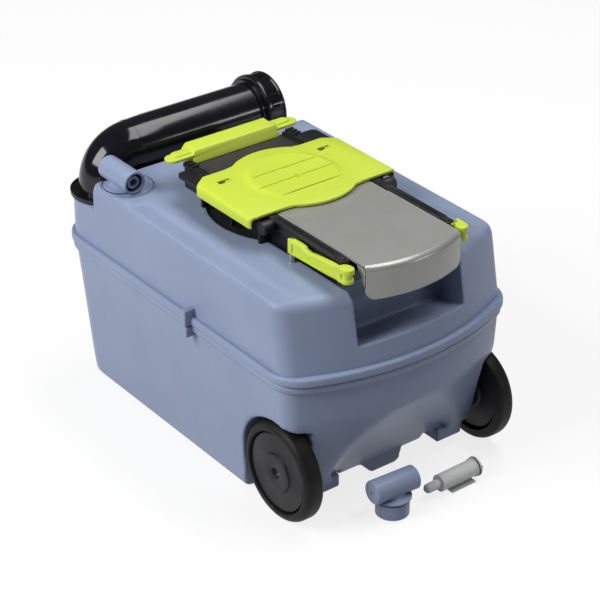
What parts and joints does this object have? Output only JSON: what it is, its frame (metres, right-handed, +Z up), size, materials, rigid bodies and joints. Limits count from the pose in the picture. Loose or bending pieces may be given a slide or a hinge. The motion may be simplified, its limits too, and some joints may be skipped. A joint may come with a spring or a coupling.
{
  "type": "wheeled waste holding tank",
  "caption": "Wheeled waste tank with swivel pour spout and screw cap, sliding cover and blade valve over its inlet, pull-out grip, side catches, bayonet vent and loose vent spares.",
  "frame": {"origin": "on the ground under the middle of the tank, at the middle of the lower shell's flat bottom between left and right", "axes": "+X to the tank's right, +Y to its spout end with the grip and the wheels at -Y, +Z up"},
  "size_m": [0.287, 0.4398, 0.2803],
  "materials": {
    "tank_blue": "lightly grained blue-grey plastic",
    "lime": "satin lime plastic",
    "black_gloss": "glossy black plastic",
    "black": "matt black plastic",
    "dark_grey": "matt dark grey plastic",
    "wheel_grey": "semi-matt dark grey plastic",
    "silver": "satin silver paint",
    "steel": "drawn steel",
    "rubber": "smooth black rubber",
    "pale_grey": "satin light grey plastic",
    "foam": "closed-cell foam"
  },
  "bodies": {
    "tank": {"lower_shell": "tank_blue", "upper_shell": "tank_blue", "axle": "steel", "axle_clips": "steel", "mechanism_frame": "black", "lip_seal": "rubber", "seal_retainer": "pale_grey", "blade_track_left": "dark_grey", "blade_track_right": "dark_grey", "rear_deck": "dark_grey", "rear_bar": "lime", "rail_left": "dark_grey", "rail_right": "dark_grey", "catch_pins": "steel", "catch_springs": "steel", "spout_collar": "black_gloss", "float_bracket": "tank_blue", "float_pin": "steel"},
    "wheel_left": {"wheel_disc_left": "wheel_grey", "tyre_left": "wheel_grey"},
    "wheel_right": {"wheel_disc_right": "wheel_grey", "tyre_right": "wheel_grey"},
    "spout": {"spout_pipe": "black_gloss", "spout_o_ring": "rubber"},
    "gasket_carrier": {"cap_gasket": "rubber"},
    "cap": {"spout_cap": "black_gloss"},
    "cover": {"sliding_cover": "lime"},
    "grip": {"grip_plate": "silver"},
    "blade": {"valve_blade": "pale_grey"},
    "lever_left": {"catch_left": "lime"},
    "lever_right": {"catch_right": "lime"},
    "vent": {"vent_elbow": "tank_blue", "vent_o_ring": "rubber", "vent_valve": "tank_blue", "vent_valve_ring": "rubber"},
    "float": {"float_arm": "dark_grey", "level_float": "foam"},
    "loose_elbow": {"spare_elbow": "tank_blue", "spare_o_ring": "rubber"},
    "loose_valve": {"spare_valve": "pale_grey", "spare_valve_ring": "rubber"}
  },
  "joints": [
    {"name": "wheel_left_spin", "type": "hinge", "parent": "tank", "child": "wheel_left", "pos_m": [-0.11825, -0.168, 0.0508], "axis": [1, 0, 0], "continuous": true},
    {"name": "wheel_right_spin", "type": "hinge", "parent": "tank", "child": "wheel_right", "pos_m": [0.11825, -0.168, 0.0508], "axis": [1, 0, 0], "continuous": true},
    {"name": "spout_swivel", "type": "hinge", "parent": "tank", "child": "spout", "pos_m": [-0.0976, 0.158, 0.205], "axis": [0, 0, 1], "range_deg": [0, 135]},
    {"name": "gasket_draw", "type": "slide", "parent": "spout", "child": "gasket_carrier", "axis": [1, 0, 0], "range_m": [0, 0.024]},
    {"name": "cap_turn", "type": "hinge", "parent": "gasket_carrier", "child": "cap", "pos_m": [0.1, 0.158, 0.2437], "axis": [1, 0, 0], "range_deg": [0, 1080]},
    {"name": "cover_slide", "type": "slide", "parent": "tank", "child": "cover", "axis": [0, -1, 0], "range_m": [0, 0.104]},
    {"name": "grip_slide", "type": "slide", "parent": "tank", "child": "grip", "axis": [0, -1, 0], "range_m": [0, 0.075]},
    {"name": "blade_slide", "type": "slide", "parent": "tank", "child": "blade", "axis": [0, -1, 0], "range_m": [0, 0.101]},
    {"name": "catch_left_swing", "type": "hinge", "parent": "tank", "child": "lever_left", "pos_m": [-0.07, -0.118, 0.25], "axis": [0, 0, 1], "range_deg": [0, 3], "stiffness_Nm_per_rad": 1, "springref_deg": -1.72},
    {"name": "catch_right_swing", "type": "hinge", "parent": "tank", "child": "lever_right", "pos_m": [0.07, -0.118, 0.25], "axis": [0, 0, -1], "range_deg": [0, 3], "stiffness_Nm_per_rad": 1, "springref_deg": -1.72},
    {"name": "vent_lock", "type": "hinge", "parent": "tank", "child": "vent", "pos_m": [-0.11, 0.106, 0.235], "axis": [0, 0, 1], "range_deg": [0, 60]},
    {"name": "float_swing", "type": "hinge", "parent": "tank", "child": "float", "pos_m": [0.08, 0.095, 0.196], "axis": [-1, 0, 0], "range_deg": [0, 45]},
    {"name": "loose_elbow_lift", "type": "slide", "parent": "tank", "child": "loose_elbow", "axis": [0, 0, 1], "range_m": [0, 0.06]},
    {"name": "loose_valve_lift", "type": "slide", "parent": "tank", "child": "loose_valve", "axis": [0, 0, 1], "range_m": [0, 0.06]}
  ],
  "couplings": [
    {"joint": "gasket_draw", "follows": "cap_turn", "m_per_rad": 0.0012732}
  ]
}
